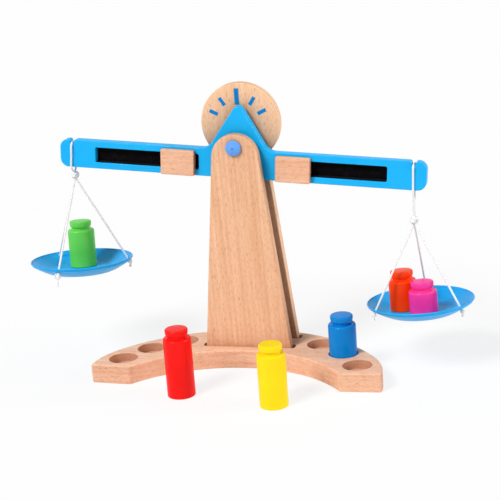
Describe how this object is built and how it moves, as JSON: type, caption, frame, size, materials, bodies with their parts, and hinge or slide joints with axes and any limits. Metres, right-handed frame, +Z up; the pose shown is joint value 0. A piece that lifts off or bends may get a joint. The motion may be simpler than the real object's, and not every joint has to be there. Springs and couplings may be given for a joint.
{
  "type": "toy balance scale",
  "caption": "Wooden toy balance: a beam with a pointer tips on a two-board stand, hanging two pans on cords, with sliders to trim it, dowel weights and a crescent base with sockets.",
  "frame": {"origin": "middle of the base's underside, midway between the two boards", "axes": "+Z up; +X along the beam to the viewer's right; -Y towards the viewer, where the base's bay opens"},
  "size_m": [0.471, 0.188, 0.2934],
  "materials": {
    "base_wood": "clear-lacquered beech, satin",
    "board_wood": "clear-lacquered beech plywood, satin",
    "slider_wood": "plain sanded beech, satin",
    "beam_paint": "sky-blue paint on wood, satin",
    "mark_ink": "blue printed ink, matte",
    "peg_paint": "periwinkle-blue paint on wood, semi-gloss",
    "pan_plastic": "light-blue moulded plastic, semi-gloss",
    "black_felt": "black felt",
    "white_cord": "white braided cord",
    "screw_steel": "zinc-plated steel",
    "red_paint": "red gloss paint on a beech dowel",
    "yellow_paint": "yellow gloss paint on a beech dowel",
    "green_paint": "green gloss paint on a beech dowel",
    "blue_paint": "blue gloss paint on a beech dowel",
    "orange_paint": "orange gloss paint on a beech dowel",
    "pink_paint": "pink gloss paint on a beech dowel"
  },
  "bodies": {
    "stand": {"base": "base_wood", "base_screw_1": "screw_steel", "base_screw_2": "screw_steel", "base_screw_3": "screw_steel", "base_screw_4": "screw_steel", "front_board": "board_wood", "rear_board": "board_wood", "dial_mark_1": "mark_ink", "dial_mark_2": "mark_ink", "dial_mark_3": "mark_ink", "dial_mark_4": "mark_ink", "dial_mark_5": "mark_ink", "pivot_peg": "peg_paint", "rear_cap": "peg_paint", "front_spacer": "board_wood", "rear_spacer": "board_wood"},
    "beam": {"beam": "beam_paint", "left_groove_felt": "black_felt", "right_groove_felt": "black_felt"},
    "left_slider": {"left_slider": "slider_wood"},
    "right_slider": {"right_slider": "slider_wood"},
    "left_loop": {"left_loop": "white_cord"},
    "right_loop": {"right_loop": "white_cord"},
    "left_knot": {"left_knot": "white_cord"},
    "right_knot": {"right_knot": "white_cord"},
    "left_pan": {"left_pan": "pan_plastic", "left_cord_1": "white_cord", "left_cord_2": "white_cord", "left_cord_3": "white_cord"},
    "right_pan": {"right_pan": "pan_plastic", "right_cord_1": "white_cord", "right_cord_2": "white_cord", "right_cord_3": "white_cord"},
    "red_weight": {"red_weight": "red_paint"},
    "yellow_weight": {"yellow_weight": "yellow_paint"},
    "green_weight": {"green_weight": "green_paint"},
    "blue_weight": {"blue_weight": "blue_paint"},
    "orange_weight": {"orange_weight": "orange_paint"},
    "pink_weight": {"pink_weight": "pink_paint"}
  },
  "joints": [
    {"name": "beam_tilt", "type": "hinge", "parent": "stand", "child": "beam", "pos_m": [0, 0, 0.2328], "axis": [0, 1, 0], "range_deg": [-16.23, 7.77]},
    {"name": "left_slider_slide", "type": "slide", "parent": "beam", "child": "left_slider", "axis": [0.9973, 0, -0.0738], "range_m": [-0.074, 0.0037]},
    {"name": "right_slider_slide", "type": "slide", "parent": "beam", "child": "right_slider", "axis": [0.9973, 0, -0.0738], "range_m": [0, 0.0777]},
    {"name": "left_loop_hang", "type": "hinge", "parent": "beam", "child": "left_loop", "pos_m": [-0.18015, 0, 0.2375], "axis": [0, 1, 0], "range_deg": [-8, 16.5]},
    {"name": "right_loop_hang", "type": "hinge", "parent": "beam", "child": "right_loop", "pos_m": [0.17882, 0, 0.21095], "axis": [0, 1, 0], "range_deg": [-8, 16.5]},
    {"name": "left_pan_swing", "type": "hinge", "parent": "left_loop", "child": "left_knot", "pos_m": [-0.18261, 0, 0.20148], "axis": [0, 1, 0], "range_deg": [-20, 20]},
    {"name": "right_pan_swing", "type": "hinge", "parent": "right_loop", "child": "right_knot", "pos_m": [0.1764, 0, 0.153], "axis": [0, 1, 0], "range_deg": [-20, 20]},
    {"name": "left_pan_sway", "type": "hinge", "parent": "left_knot", "child": "left_pan", "pos_m": [-0.18261, 0, 0.20148], "axis": [1, 0, 0], "range_deg": [-20, 20]},
    {"name": "right_pan_sway", "type": "hinge", "parent": "right_knot", "child": "right_pan", "pos_m": [0.1764, 0, 0.153], "axis": [1, 0, 0], "range_deg": [-20, 20]},
    {"name": "red_weight_lift", "type": "slide", "parent": "stand", "child": "red_weight", "axis": [0, 0, 1], "range_m": [0, 0.1]},
    {"name": "yellow_weight_lift", "type": "slide", "parent": "stand", "child": "yellow_weight", "axis": [0, 0, 1], "range_m": [0, 0.1]},
    {"name": "blue_weight_lift", "type": "slide", "parent": "stand", "child": "blue_weight", "axis": [0, 0, 1], "range_m": [0, 0.1]},
    {"name": "green_weight_lift", "type": "slide", "parent": "left_pan", "child": "green_weight", "axis": [0.3361, 0.7919, 0.5099], "range_m": [0, 0.11]},
    {"name": "orange_weight_lift", "type": "slide", "parent": "right_pan", "child": "orange_weight", "axis": [-0.6519, 0.5507, 0.5213], "range_m": [0, 0.11]},
    {"name": "pink_weight_lift", "type": "slide", "parent": "right_pan", "child": "pink_weight", "axis": [-0.2457, -0.8134, 0.5272], "range_m": [0, 0.11]}
  ],
  "couplings": [
    {"joint": "left_loop_hang", "follows": "beam_tilt", "ratio": -1},
    {"joint": "right_loop_hang", "follows": "beam_tilt", "ratio": -1}
  ]
}
